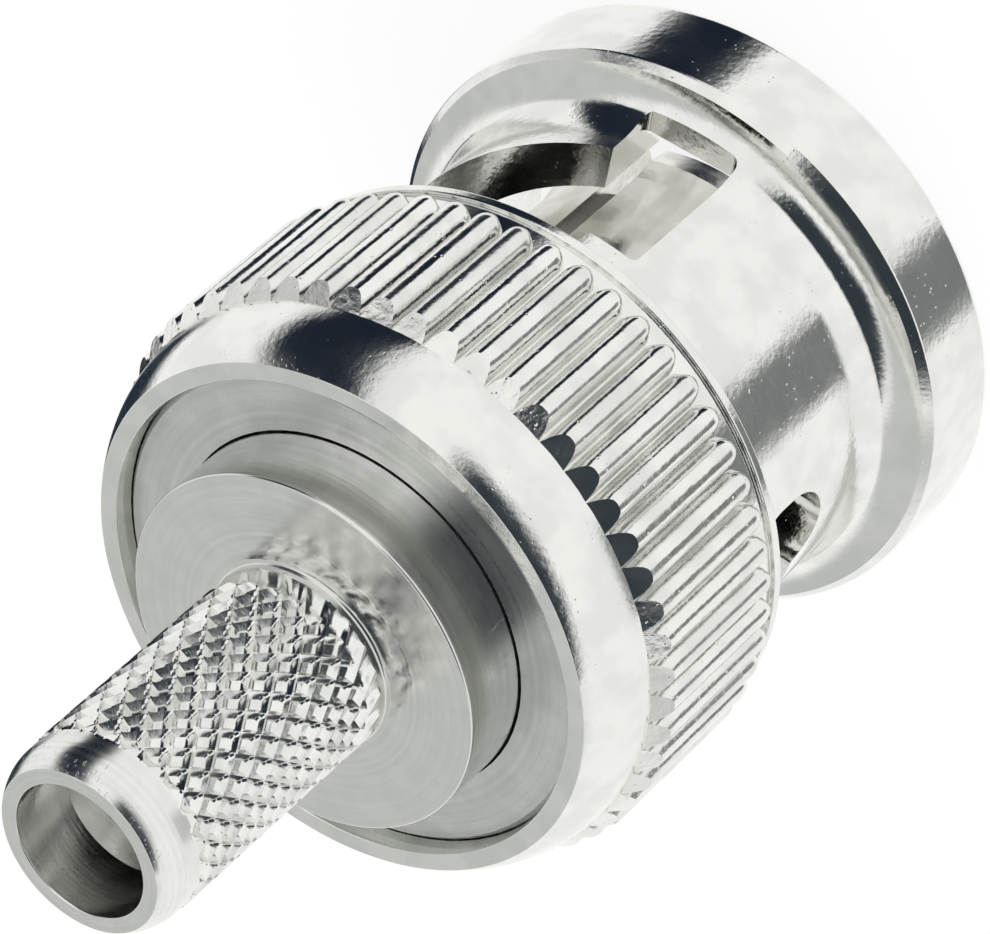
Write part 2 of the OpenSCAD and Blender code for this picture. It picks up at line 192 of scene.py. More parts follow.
class CastSkin(ShaderGroup):
    """Fine orange-peel and small pits of a plated casting, with painted shade darkening the colour inside the pits."""

    name = "cast_skin"
    inputs = {"Scale": 9.0, "Pits": 0.5}
    outputs = ("Height", "Tone")

    def build(self, wiring: Wiring, start: bpy.types.Node) -> dict[str, bpy.types.NodeSocket]:
        """Builds the noises and the pits; see ShaderGroup.build."""
        place, scale = start.outputs["Place"], start.outputs["Scale"]
        fine = wiring.noise(place, scale, 3.0)
        broad = wiring.noise(place, wiring.math("MULTIPLY", scale, 0.14), 2.0)
        cells = wiring.add(
            "ShaderNodeTexVoronoi", {"Vector": place, "Scale": wiring.math("MULTIPLY", scale, 0.9)}
        ).outputs["Distance"]
        pits = wiring.ramp(cells, 0.05, 0.22, 1.0, 0.0)
        rare = wiring.ramp(wiring.noise(place, wiring.math("MULTIPLY", scale, 0.35), 1.0), 0.52, 0.62)
        pits = wiring.math("MULTIPLY", wiring.math("MULTIPLY", pits, rare), start.outputs["Pits"])
        height = wiring.math("SUBTRACT", wiring.math("ADD", fine, wiring.math("MULTIPLY", broad, 2.0)), pits)
        # Tone is broad random tone, darkened in the pits: painted shade in the pits, on top of their real dent in
        # Height.
        tone = wiring.math("SUBTRACT", wiring.ramp(broad, 0.35, 0.65), wiring.math("MULTIPLY", pits, 0.7), clamp=True)
        return {"Height": height, "Tone": tone}


class LatheMarks(ShaderGroup):
    """Concentric marks that a turning tool leaves, broken up along their length."""

    name = "lathe_marks"
    inputs = {"Rings": 9.0, "Streaks": 1.0}
    outputs = ("Height", "Tone")

    def build(self, wiring: Wiring, start: bpy.types.Node) -> dict[str, bpy.types.NodeSocket]:
        """Builds rings of noise over radius and height; see ShaderGroup.build."""
        split = wiring.add("ShaderNodeSeparateXYZ", {"Vector": start.outputs["Place"]})
        x, y, z = split.outputs
        radius = wiring.math("SQRT", wiring.math("ADD", wiring.math("MULTIPLY", x, x), wiring.math("MULTIPLY", y, y)))
        turn = wiring.math("ARCTAN2", y, x)
        along = wiring.add(
            "ShaderNodeCombineXYZ",
            {"X": radius, "Y": z, "Z": wiring.math("MULTIPLY", wiring.math("SINE", turn), 0.02)},
        ).outputs[0]
        rings = wiring.noise(along, start.outputs["Rings"], 4.0)
        coarse = wiring.noise(along, wiring.math("MULTIPLY", start.outputs["Rings"], 0.25), 2.0)
        cloud = wiring.noise(start.outputs["Place"], 1.4, 3.0)
        height = wiring.math("ADD", rings, wiring.math("MULTIPLY", coarse, 0.6))
        streaks = wiring.math("MULTIPLY", wiring.ramp(rings, 0.35, 0.65), start.outputs["Streaks"])
        tone = wiring.math("MULTIPLY", wiring.math("ADD", streaks, wiring.ramp(cloud, 0.3, 0.7)), 0.5, clamp=True)
        return {"Height": height, "Tone": tone}


class DragMarks(ShaderGroup):
    """Sparse scratches along the axis."""

    name = "drag_marks"
    inputs = {"Density": 14.0}
    outputs = ("Height",)

    def build(self, wiring: Wiring, start: bpy.types.Node) -> dict[str, bpy.types.NodeSocket]:
        """Builds noise stretched along the axis; see ShaderGroup.build."""
        long = wiring.add("ShaderNodeVectorMath", {0: start.outputs["Place"], 1: (1.0, 1.0, 0.06)}, operation="MULTIPLY")
        lines = wiring.noise(long.outputs[0], start.outputs["Density"], 2.0)
        where = wiring.ramp(wiring.noise(start.outputs["Place"], 0.9, 1.0), 0.5, 0.62)
        cuts = wiring.math("MULTIPLY", wiring.ramp(lines, 0.62, 0.7), where)
        return {"Height": wiring.math("MULTIPLY", cuts, -1.0)}


# ---------------------------------------------------------------- finishes


@dataclass(frozen=True)
class NickelFinish:
    """A nickel plate: its tones, its gloss, and the marks of how its surface was made.

    Roughness and colour run from the first value to the second with the surface's tone.
    """

    name: str
    made: Nickel
    colour: tuple[Colour, Colour]
    roughness: tuple[float, float]
    depth: float
    scale: float
    pits: float = 0.0
    scratches: float = 0.0

    def build(self, groups: dict[str, ShaderGroup]) -> bpy.types.Material:
        """Builds the material.

        Args:
            groups: The shader groups, by name.

        Returns:
            The material.
        """
        material, wiring, shader = new_material(self.name)
        place = millimetres(wiring)
        if self.made is Nickel.TURNED:
            marks = groups["lathe_marks"].place(wiring, place, Rings=self.scale)
        else:
            marks = groups["cast_skin"].place(wiring, place, Scale=self.scale, Pits=self.pits)
        tone, height = marks.outputs["Tone"], marks.outputs["Height"]
        if self.scratches:
            drag = groups["drag_marks"].place(wiring, place)
            height = wiring.math("ADD", height, wiring.math("MULTIPLY", drag.outputs["Height"], self.scratches))
        colour_between(wiring, shader, tone, *self.colour)
        wiring.link(wiring.ramp(tone, 0.0, 1.0, *self.roughness), shader.inputs["Roughness"])
        bump(wiring, shader, height, self.depth)
        shader.inputs["Metallic"].default_value = 1.0
        return material


@dataclass(frozen=True)
class PlainFinish:
    """A finish that isn't nickel: its tones, gloss and grain."""

    name: str
    colour: tuple[Colour, Colour]
    roughness: tuple[float, float]
    depth: float
    scale: float
    metallic: float = 0.0
    soft: float = 0.0

    def build(self, groups: dict[str, ShaderGroup]) -> bpy.types.Material:
        """Builds the material.

        Args:
            groups: The shader groups, by name.

        Returns:
            The material.
        """
        material, wiring, shader = new_material(self.name)
        marks = groups["cast_skin"].place(wiring, millimetres(wiring), Scale=self.scale, Pits=0.0)
        tone = marks.outputs["Tone"]
        colour_between(wiring, shader, tone, *self.colour)
        wiring.link(wiring.ramp(tone, 0.0, 1.0, *self.roughness), shader.inputs["Roughness"])
        bump(wiring, shader, marks.outputs["Height"], self.depth)
        shader.inputs["Metallic"].default_value = self.metallic
        if self.soft:
            shader.inputs["Subsurface Weight"].default_value = self.soft
            shader.inputs["Subsurface Radius"].default_value = (1.0, 1.0, 1.0)
            shader.inputs["Subsurface Scale"].default_value = 0.4 * MM
        return material


def new_material(name: str) -> tuple[bpy.types.Material, Wiring, bpy.types.Node]:
    """Starts a material.

    Args:
        name: The material's name.

    Returns:
        The material, what adds its nodes, and its Principled shader.
    """
    material = bpy.data.materials.new(name)
    material.use_nodes = True
    shader = material.node_tree.nodes["Principled BSDF"]
    return material, Wiring(material.node_tree), shader


def millimetres(wiring: Wiring) -> bpy.types.NodeSocket:
    """Gives the surface's position in millimetres."""
    place = wiring.add("ShaderNodeTexCoord").outputs["Object"]
    return wiring.add("ShaderNodeVectorMath", {0: place, "Scale": 1 / MM}, operation="SCALE").outputs[0]


def colour_between(
    wiring: Wiring, shader: bpy.types.Node, tone: bpy.types.NodeSocket, low: Colour, high: Colour
) -> None:
    """Colours a shader from low to high with the surface's tone."""
    mix = wiring.add("ShaderNodeMix", data_type="RGBA")
    wiring.link(tone, mix.inputs[0])
    mix.inputs[6].default_value = (*low, 1.0)
    mix.inputs[7].default_value = (*high, 1.0)
    wiring.link(mix.outputs[2], shader.inputs["Base Color"])


def bump(wiring: Wiring, shader: bpy.types.Node, height: bpy.types.NodeSocket, depth: float) -> None:
    """Bumps a shader's surface.

    Args:
        wiring: Adds nodes to the material.
        shader: The shader that gets the normal.
        height: The relief.
        depth: Depth of the relief in millimetres.
    """
    node = wiring.add("ShaderNodeBump", {"Height": height, "Distance": depth * MM, "Strength": 1.0})
    wiring.link(node.outputs["Normal"], shader.inputs["Normal"])


NUT_NICKEL = NickelFinish(
    "nut_nickel", Nickel.CAST, ((0.78, 0.785, 0.76), (0.86, 0.86, 0.835)), (0.15, 0.1), 0.004, 7.0, pits=0.8
)
GRIP_NICKEL = NickelFinish(
    "grip_nickel", Nickel.CAST, ((0.76, 0.765, 0.74), (0.86, 0.86, 0.835)), (0.2, 0.12), 0.008, 6.0, pits=1.0
)
RING_NICKEL = NickelFinish(
    "ring_nickel", Nickel.TURNED, ((0.62, 0.63, 0.61), (0.74, 0.75, 0.74)), (0.36, 0.26), 0.0035, 7.0
)
BODY_NICKEL = NickelFinish(
    "body_nickel", Nickel.TURNED, ((0.74, 0.745, 0.72), (0.84, 0.84, 0.82)), (0.24, 0.14), 0.003, 8.0, scratches=0.8
)
STEM_NICKEL = NickelFinish(
    "stem_nickel", Nickel.DRAWN, ((0.76, 0.765, 0.745), (0.86, 0.86, 0.84)), (0.2, 0.12), 0.003, 9.0, pits=0.4
)
CONTACT_NICKEL = NickelFinish(
    "contact_nickel", Nickel.DRAWN, ((0.74, 0.73, 0.69), (0.82, 0.81, 0.77)), (0.2, 0.12), 0.003, 8.0, pits=0.3
)
WASHER_STEEL = NickelFinish(
    "washer_steel", Nickel.DRAWN, ((0.5, 0.51, 0.52), (0.6, 0.61, 0.62)), (0.35, 0.25), 0.003, 10.0, pits=0.2
)
GOLD = PlainFinish("gold_plate", ((0.86, 0.62, 0.25), (0.92, 0.7, 0.32)), (0.2, 0.12), 0.002, 9.0, metallic=1.0)
PTFE = PlainFinish("ptfe", ((0.84, 0.84, 0.82), (0.9, 0.9, 0.88)), (0.42, 0.34), 0.003, 6.0, soft=0.25)
SILICONE = PlainFinish("silicone", ((0.035, 0.035, 0.036), (0.06, 0.06, 0.062)), (0.6, 0.48), 0.006, 12.0)
FINISHES = (
    NUT_NICKEL, GRIP_NICKEL, RING_NICKEL, BODY_NICKEL, STEM_NICKEL, CONTACT_NICKEL, WASHER_STEEL, GOLD, PTFE, SILICONE
)


# ---------------------------------------------------------------- studio


@dataclass(frozen=True)
class Card:
    """A card in the studio, as an area of directions seen from the plug. Angles are in degrees."""

    azimuth: float
    elevation: float
    half_width: float
    half_height: float
    soft: float
    colour: Colour


@dataclass
class Studio:
    """The camera, the pale floor, the white surroundings with their dark cards, and one soft lamp."""

    lens: float = 230.77
    sensor: float = 36.0
    distance: float = 141.052
    azimuth: float = -116.737
    elevation: float = 40.174
    roll: float = 131.67
    target: tuple[float, float, float] = (0.198, -0.1, 8.761)
    floor_size: float = 900.0
    floor_glow: float = 0.86
    white: Colour = (1.0, 1.0, 0.99)
    cards: tuple[Card, ...] = (
        Card(-43.0, -16.0, 15.0, 42.0, 9.0, (0.012, 0.018, 0.03)),
        Card(-150.0, 44.0, 40.0, 20.0, 12.0, (0.03, 0.04, 0.05)),
        Card(38.0, -23.0, 12.0, 9.0, 8.0, (0.02, 0.03, 0.045)),
        Card(-172.0, -44.0, 12.0, 4.0, 9.0, (0.2, 0.21, 0.21)),
        Card(63.0, 48.0, 80.0, 26.0, 20.0, (0.6, 0.61, 0.6)),
    )

    def build(self) -> None:
        """Builds everything in the studio."""
        self.build_camera()
        self.build_floor()
        self.build_world()
        self.build_lamp()

    def build_camera(self) -> None:
        """Places the camera, which looks down on the plug with its picture rolled."""
        turn, rise = math.radians(self.azimuth), math.radians(self.elevation)
        away = Vector((math.cos(turn) * math.cos(rise), math.sin(turn) * math.cos(rise), math.sin(rise)))
        place = (Vector(self.target) + away * self.distance) * MM
        right = (-away).cross(Vector((0, 0, 1))).normalized()
        upright = right.cross(-away)
        roll = math.radians(self.roll)
        up = upright * math.cos(roll) + right * math.sin(roll)
        side = (-away).cross(up)
        data = bpy.data.cameras.new("camera")
        data.lens = self.lens
        data.sensor_width = self.sensor
        data.clip_start = 1 * MM
        data.clip_end = 10.0
        camera = bpy.data.objects.new("camera", data)
        camera.matrix_world = Matrix.Translation(place) @ Matrix((side, up, away)).transposed().to_4x4()
        bpy.context.scene.collection.objects.link(camera)
        bpy.context.scene.camera = camera

    def build_floor(self) -> None:
        """Lays the floor, which looks white and keeps a faint shadow."""
        half = self.floor_size / 2 * MM
        mesh = bpy.data.meshes.new("floor")
        mesh.from_pydata([(-half, -half, 0), (half, -half, 0), (half, half, 0), (-half, half, 0)], [], [(0, 1, 2, 3)])
        floor = bpy.data.objects.new("floor", mesh)
        bpy.context.scene.collection.objects.link(floor)
        material, wiring, shader = new_material("floor")
        shader.inputs["Base Color"].default_value = (0.92, 0.92, 0.92, 1.0)
        shader.inputs["Roughness"].default_value = 0.9
        glow = wiring.add("ShaderNodeEmission", {"Color": (1, 1, 1, 1), "Strength": 1.0})
        clear = wiring.add("ShaderNodeBsdfTransparent")
        path = wiring.add("ShaderNodeLightPath")
        seen = wiring.math("MULTIPLY", path.outputs["Is Camera Ray"], self.floor_glow)
        pale = wiring.add("ShaderNodeMixShader", {0: seen, 1: shader.outputs[0], 2: glow.outputs[0]})
        mirrored = wiring.math("MAXIMUM", path.outputs["Is Glossy Ray"], path.outputs["Is Transmission Ray"])
        skin = wiring.add("ShaderNodeMixShader", {0: mirrored, 1: pale.outputs[0], 2: clear.outputs[0]})
        wiring.link(skin.outputs[0], material.node_tree.nodes["Material Output"].inputs["Surface"])
        mesh.materials.append(material)

    def build_world(self) -> None:
        """Surrounds the plug with white, in which its gloss sees the cards."""
        world = bpy.data.worlds.new("studio")
        world.use_nodes = True
        bpy.context.scene.world = world
        wiring = Wiring(world.node_tree)
        direction = wiring.add("ShaderNodeTexCoord").outputs["Generated"]
        tone: object = (*self.white, 1.0)
        for card in self.cards:
            mask = self.card_mask(wiring, direction, card)
            mix = wiring.add("ShaderNodeMix", {0: mask, 6: tone, 7: (*card.colour, 1.0)}, data_type="RGBA")
            tone = mix.outputs[2]
        path = wiring.add("ShaderNodeLightPath")
        mirrored = wiring.math("MAXIMUM", path.outputs["Is Glossy Ray"], path.outputs["Is Transmission Ray"])
        light = wiring.add("ShaderNodeMix", {0: mirrored, 6: (*self.white, 1.0), 7: tone}, data_type="RGBA")
        background = world.node_tree.nodes["Background"]
        wiring.link(light.outputs[2], background.inputs["Color"])
        background.inputs["Strength"].default_value = 1.0

    def card_mask(self, wiring: Wiring, direction: bpy.types.NodeSocket, card: Card) -> bpy.types.NodeSocket:
        """Finds how far a direction lies inside a card.

        Args:
            wiring: Adds nodes to the world.
            direction: The direction that is looked in.
            card: The card.

        Returns:
            1 inside the card, 0 outside it, and a soft step between.
        """
        turned = wiring.add(
            "ShaderNodeVectorRotate",
            {"Vector": direction, "Angle": math.radians(-card.azimuth)},
            rotation_type="Z_AXIS",
        ).outputs[0]
        split = wiring.add("ShaderNodeSeparateXYZ", {"Vector": turned})
        sideways = wiring.math("ABSOLUTE", wiring.math("ARCTAN2", split.outputs[1], split.outputs[0]))
        rise = wiring.math("ARCSINE", split.outputs[2])
        upward = wiring.math("ABSOLUTE", wiring.math("SUBTRACT", rise, math.radians(card.elevation)))
        soft = math.radians(card.soft)
        wide, high = math.radians(card.half_width), math.radians(card.half_height)
        across = wiring.ramp(sideways, wide, wide + soft, 1.0, 0.0)
        along = wiring.ramp(upward, high, high + soft, 1.0, 0.0)
        return wiring.math("MULTIPLY", across, along)

    def build_lamp(self) -> None:
        """Hangs one broad lamp over the plug, for the soft shadow on the floor."""
        data = bpy.data.lights.new("soft_lamp", "AREA")
        data.shape = "DISK"
        data.size = 120 * MM
        data.energy = 0.12
        lamp = bpy.data.objects.new("soft_lamp", data)
        lamp.location = Vector((-60, 40, 160)) * MM
        lamp.rotation_euler = (-lamp.location).to_track_quat("-Z", "Y").to_euler()
        lamp.visible_glossy = False
        bpy.context.scene.collection.objects.link(lamp)


# ---------------------------------------------------------------- shapes

@dataclass(frozen=True)
class Corner:
    """A corner of a turned outline, in millimetres: radius, height, and the radius that rounds it."""

    r: float
    z: float
    round: float = 0.0


class Outline:
    """A closed outline that is turned round the axis."""

    def __init__(self, steps: int = 5, support: float = 0.02) -> None:
        """Args:
            steps: Facets of a rounded corner.
            support: Length of the narrow strip that ends each flat, so that its shading stays flat.
        """
        self.steps = steps
        self.support = support
        self.parts: list[Corner | list[Point]] = []

    def corner(self, r: float, z: float, round: float = 0.0) -> Outline:
        """Adds a corner and gives back the outline."""
        self.parts.append(Corner(r, z, round))
        return self

    def arc(self, start: Point, end: Point, centre: Point, steps: int) -> Outline:
        """Adds an arc and gives back the outline.

        Args:
            start: Where the arc starts.
            end: Where it ends.
            centre: Its centre.
            steps: Its facets.

        Returns:
            The outline.
        """
        first = math.atan2(start[1] - centre[1], start[0] - centre[0])
        last = math.atan2(end[1] - centre[1], end[0] - centre[0])
        sweep = (last - first + math.pi) % math.tau - math.pi
        size = math.dist(start, centre)
        turns = [first + sweep * i / steps for i in range(steps + 1)]
        self.parts.append([(centre[0] + size * math.cos(a), centre[1] + size * math.sin(a)) for a in turns])
        return self

    def points(self) -> list[Point]:
        """Gives the outline's points, with its corners rounded."""
        result: list[Point] = []
        count = len(self.parts)
        for i, part in enumerate(self.parts):
            if isinstance(part, list):
                result.extend(part)
                continue
            before, after = self.parts[i - 1], self.parts[(i + 1) % count]
            last = before[-1] if isinstance(before, list) else (before.r, before.z)
            following = after[0] if isinstance(after, list) else (after.r, after.z)
            result.extend(self.rounded(part, last, following))
        return result

    def rounded(self, corner: Corner, before: Point, after: Point) -> list[Point]:
        """Gives the points that stand for a corner.

        Args:
            corner: The corner.
            before: The point before it.
            after: The point after it.

        Returns:
            The corner itself, or its arc with a support point at each end.
        """
        here = Vector((corner.r, corner.z))
        if corner.round == 0.0:
            return [(corner.r, corner.z)]
        back = (Vector(before) - here).normalized()
        ahead = (Vector(after) - here).normalized()
        half = back.angle(ahead) / 2
        reach = corner.round / math.tan(half)
        centre = here + (back + ahead).normalized() * (corner.round / math.sin(half))
        start, end = here + back * reach, here + ahead * reach
        first = math.atan2(start.y - centre.y, start.x - centre.x)
        last = math.atan2(end.y - centre.y, end.x - centre.x)
        sweep = (last - first + math.pi) % math.tau - math.pi
        turns = [first + sweep * i / self.steps for i in range(self.steps + 1)]
        bend = [(centre.x + corner.round * math.cos(a), centre.y + corner.round * math.sin(a)) for a in turns]
        ends = (start + back * self.support, end + ahead * self.support)
        return [tuple(ends[0]), *bend, tuple(ends[1])]


def turned(name: str, outline: Outline, around: int = 288) -> bpy.types.Object:
    """Turns an outline round the axis.

    Args:
        name: Name of the piece.
        outline: Its closed outline.
        around: Facets round the axis.

    Returns:
        The piece.
    """
    ring = outline.points()
    rows = len(ring)
    points = [
        (r * MM * math.cos(math.tau * i / around), r * MM * math.sin(math.tau * i / around), z * MM)
        for i in range(around)
        for r, z in ring
    ]
    faces = [
        (i * rows + j, i * rows + (j + 1) % rows, (i + 1) % around * rows + (j + 1) % rows, (i + 1) % around * rows + j)
        for i in range(around)
        for j in range(rows)
    ]
    return new_piece(name, points, faces)


def new_piece(name: str, points: list[tuple[float, float, float]], faces: list[tuple[int, ...]]) -> bpy.types.Object:
    """Makes an object from points in metres and faces, with its faces turned outwards."""
    mesh = bpy.data.meshes.new(name)
    mesh.from_pydata(points, [], faces)
    piece = bpy.data.objects.new(name, mesh)
    bpy.context.scene.collection.objects.link(piece)
    face_outwards(mesh)
    return piece


def face_outwards(mesh: bpy.types.Mesh) -> None:
    """Turns a closed mesh's faces outwards."""
    work = bmesh.new()
    work.from_mesh(mesh)
    bmesh.ops.recalc_face_normals(work, faces=work.faces)
    if work.calc_volume(signed=True) < 0:
        bmesh.ops.reverse_faces(work, faces=work.faces)
    work.to_mesh(mesh)
    work.free()


def settle(piece: bpy.types.Object) -> None:
    """Replaces a piece's mesh by what its modifiers make of it, and removes them."""
    ready = piece.evaluated_get(bpy.context.evaluated_depsgraph_get())
    mesh = bpy.data.meshes.new_from_object(ready)
    piece.modifiers.clear()
    old = piece.data
    piece.data = mesh
    bpy.data.meshes.remove(old)
    mesh.name = piece.name


def smooth(piece: bpy.types.Object, sharp: float = 34.0) -> None:
    """Shades a piece smooth, apart from edges sharper than an angle in degrees."""
    mesh = piece.data
    mesh.shade_smooth()
    mesh.set_sharp_from_angle(angle=math.radians(sharp))


def carve(piece: bpy.types.Object, cutters: list[bpy.types.Object]) -> None:
    """Cuts closed solids out of a piece and removes them."""
    for cutter in cutters:
        change = piece.modifiers.new("cut", "BOOLEAN")
        change.operation = "DIFFERENCE"
        change.solver = "EXACT"
        change.object = cutter
    settle(piece)
    for cutter in cutters:
        bpy.data.objects.remove(cutter)


def prism(name: str, outline: list[Point], depth: tuple[float, float], turn: float) -> bpy.types.Object:
    """Makes a solid by pushing an outline outwards from the axis.

    Args:
        name: Name of the solid.
        outline: Points across the direction of the push and along the axis, in millimetres.
        depth: Distances from the axis at which it starts and ends, in millimetres.
        turn: Angle of the push from +X, in degrees.

    Returns:
        The solid.
    """
    count = len(outline)
    spin = Matrix.Rotation(math.radians(turn), 3, "Z")
    points = [tuple(spin @ Vector((r, x, z)) * MM) for r in depth for x, z in outline]
    sides = [(i, (i + 1) % count, count + (i + 1) % count, count + i) for i in range(count)]
    faces = [*sides, tuple(range(count - 1, -1, -1)), tuple(range(count, 2 * count))]
    return new_piece(name, points, faces)


# ---------------------------------------------------------------- repeated forms


class Growth:
    """A Geometry Nodes tree that makes one repeated form, with named inputs."""

    name = "growth"
    inputs: dict[str, float | int] = {}

    def __init__(self) -> None:
        """Builds the tree, from its form to Realize Instances and Set Material."""
        self.tree = bpy.data.node_groups.new(self.name, "GeometryNodeTree")
        face = self.tree.interface
        face.new_socket(name="Geometry", in_out="OUTPUT", socket_type="NodeSocketGeometry")
        for socket, value in self.inputs.items():
            kind = "NodeSocketInt" if isinstance(value, int) else "NodeSocketFloat"
            face.new_socket(name=socket, in_out="INPUT", socket_type=kind).default_value = value
        face.new_socket(name="Material", in_out="INPUT", socket_type="NodeSocketMaterial")
        self.wiring = Wiring(self.tree)
        self.start = self.wiring.add("NodeGroupInput")
        form = self.build()
        real = self.wiring.add("GeometryNodeRealizeInstances", {"Geometry": form})
        worn = self.wiring.add(
            "GeometryNodeSetMaterial", {"Geometry": real.outputs[0], "Material": self.start.outputs["Material"]}
        )
        self.wiring.link(worn.outputs[0], self.wiring.add("NodeGroupOutput").inputs["Geometry"])

    def build(self) -> bpy.types.NodeSocket:
        """Builds the form and gives its geometry."""
        raise NotImplementedError

    def size(self, name: str) -> bpy.types.NodeSocket:
        """Gives a named input's socket."""
        return self.start.outputs[name]

    def grow(self, name: str, material: bpy.types.Material, sizes: dict[str, float | int]) -> bpy.types.Object:
        """Makes a piece of the form.

        Args:
            name: Name of the piece.
            material: Its material.
            sizes: Values of the tree's inputs.

        Returns:
            The piece, as a plain mesh.
        """
        piece = bpy.data.objects.new(name, bpy.data.meshes.new(name))
        bpy.context.scene.collection.objects.link(piece)
        change = piece.modifiers.new("growth", "NODES")
        change.node_group = self.tree
        sockets = {item.name: item.identifier for item in self.tree.interface.items_tree if item.in_out == "INPUT"}
        for socket, value in sizes.items():
            change[sockets[socket]] = value
        change[sockets["Material"]] = material
        settle(piece)
        face_outwards(piece.data)
        return piece


class RibGrowth(Growth):
    """Arched ribs round the axis: round in front, with a slope cut across their rear ends."""

    name = "grip_ribs"
    inputs = {
        "Count": 54,
        "Root Radius": 6.98,
        "Height": 0.38,
        "Root Width": 0.78,
        "Front": 8.9,
        "Back": 13.28,
        "Slope": 0.42,
        "Crown": 3.0,
        "Rough": 0.02,
        "Seed": 3,
    }
    rows = 28
    end_rows = 3
    depth = 0.3

    def build(self) -> bpy.types.NodeSocket:
        """Bends a gridded block into a rib, copies it round the axis and roughens it; see Growth.build."""
        w, math_ = self.wiring, self.wiring.math
        block = w.add(
            "GeometryNodeMeshCube",
            {"Size": (1.0, 1.0, 1.0), "Vertices X": 11, "Vertices Y": 2, "Vertices Z": self.rows + 1},
        ).outputs["Mesh"]
        across, side, along = w.add("ShaderNodeSeparateXYZ", {0: w.add("GeometryNodeInputPosition").outputs[0]}).outputs
        across = math_("MULTIPLY", across, 2.0)
        row = math_("ROUND", math_("MULTIPLY", math_("ADD", along, 0.5), float(self.rows)))
        last = float(self.rows - self.end_rows)
        end = math_("DIVIDE", math_("SUBTRACT", float(self.rows), row), float(self.end_rows), clamp=True)
        body = math_("POWER", math_("DIVIDE", row, last, clamp=True), 1.35)
        arch = math_("SUBTRACT", 1.0, math_("POWER", math_("ABSOLUTE", across), self.size("Crown")))
        rise = math_("MULTIPLY", arch, self.size("Height"))
        top = math_("SUBTRACT", self.size("Back"), math_("MULTIPLY", arch, self.size("Slope")))
        reach = math_("MULTIPLY", math_("SUBTRACT", top, self.size("Front")), body)
        cut_back = math_("MULTIPLY", math_("MULTIPLY", arch, self.size("Slope")), math_("SUBTRACT", 1.0, end))
        height = math_("ADD", math_("ADD", self.size("Front"), reach), cut_back)
        half = math_("MULTIPLY", self.size("Root Width"), 0.5)
        near = math_("SUBTRACT", 1.0, math_("DIVIDE", math_("SUBTRACT", height, self.size("Front")), half, clamp=True))
        round_ = math_("SQRT", math_("SUBTRACT", 1.02, math_("MULTIPLY", near, near)))
        sideways = math_("MULTIPLY", math_("MULTIPLY", across, half), round_)
        low = math_("SUBTRACT", self.size("Root Radius"), self.depth)
        lift = math_("MULTIPLY", math_("MULTIPLY", rise, end), math_("POWER", round_, 0.6))
        high = math_("ADD", math_("SUBTRACT", self.size("Root Radius"), 0.015), lift)
        is_top = math_("GREATER_THAN", side, 0.0)
        radius = math_("ADD", low, math_("MULTIPLY", is_top, math_("SUBTRACT", high, low)))
        place = w.add("ShaderNodeCombineXYZ", {0: radius, 1: sideways, 2: height}).outputs[0]
        rib = w.add("GeometryNodeSetPosition", {"Geometry": block, "Position": place}).outputs[0]
        points = w.add("GeometryNodePoints", {"Count": self.size("Count")}).outputs[0]
        step = math_("DIVIDE", math.tau, self.size("Count"))
        turn = math_("MULTIPLY", w.add("GeometryNodeInputIndex").outputs[0], step)
        spin = w.add("ShaderNodeCombineXYZ", {2: turn}).outputs[0]
        spin = w.add("FunctionNodeEulerToRotation", {0: spin}).outputs[0]
        ribs = w.add("GeometryNodeInstanceOnPoints", {"Points": points, "Instance": rib, "Rotation": spin}).outputs[0]
        ribs = w.add("GeometryNodeRealizeInstances", {"Geometry": ribs}).outputs[0]
        here = w.add("GeometryNodeInputPosition").outputs[0]
        uneven = w.add(
            "ShaderNodeTexNoise",
            {"Vector": here, "W": self.size("Seed"), "Scale": 3.2, "Detail": 3.0},
            noise_dimensions="4D",
        ).outputs["Color"]
        uneven = w.add("ShaderNodeVectorMath", {0: uneven, 1: (0.5, 0.5, 0.5)}, operation="SUBTRACT").outputs[0]
        shift = w.add("ShaderNodeVectorMath", {0: uneven, "Scale": self.size("Rough")}, operation="SCALE").outputs[0]
        ribs = w.add("GeometryNodeSetPosition", {"Geometry": ribs, "Offset": shift}).outputs[0]
        return w.add("GeometryNodeTransform", {"Geometry": ribs, "Scale": (MM, MM, MM)}).outputs[0]


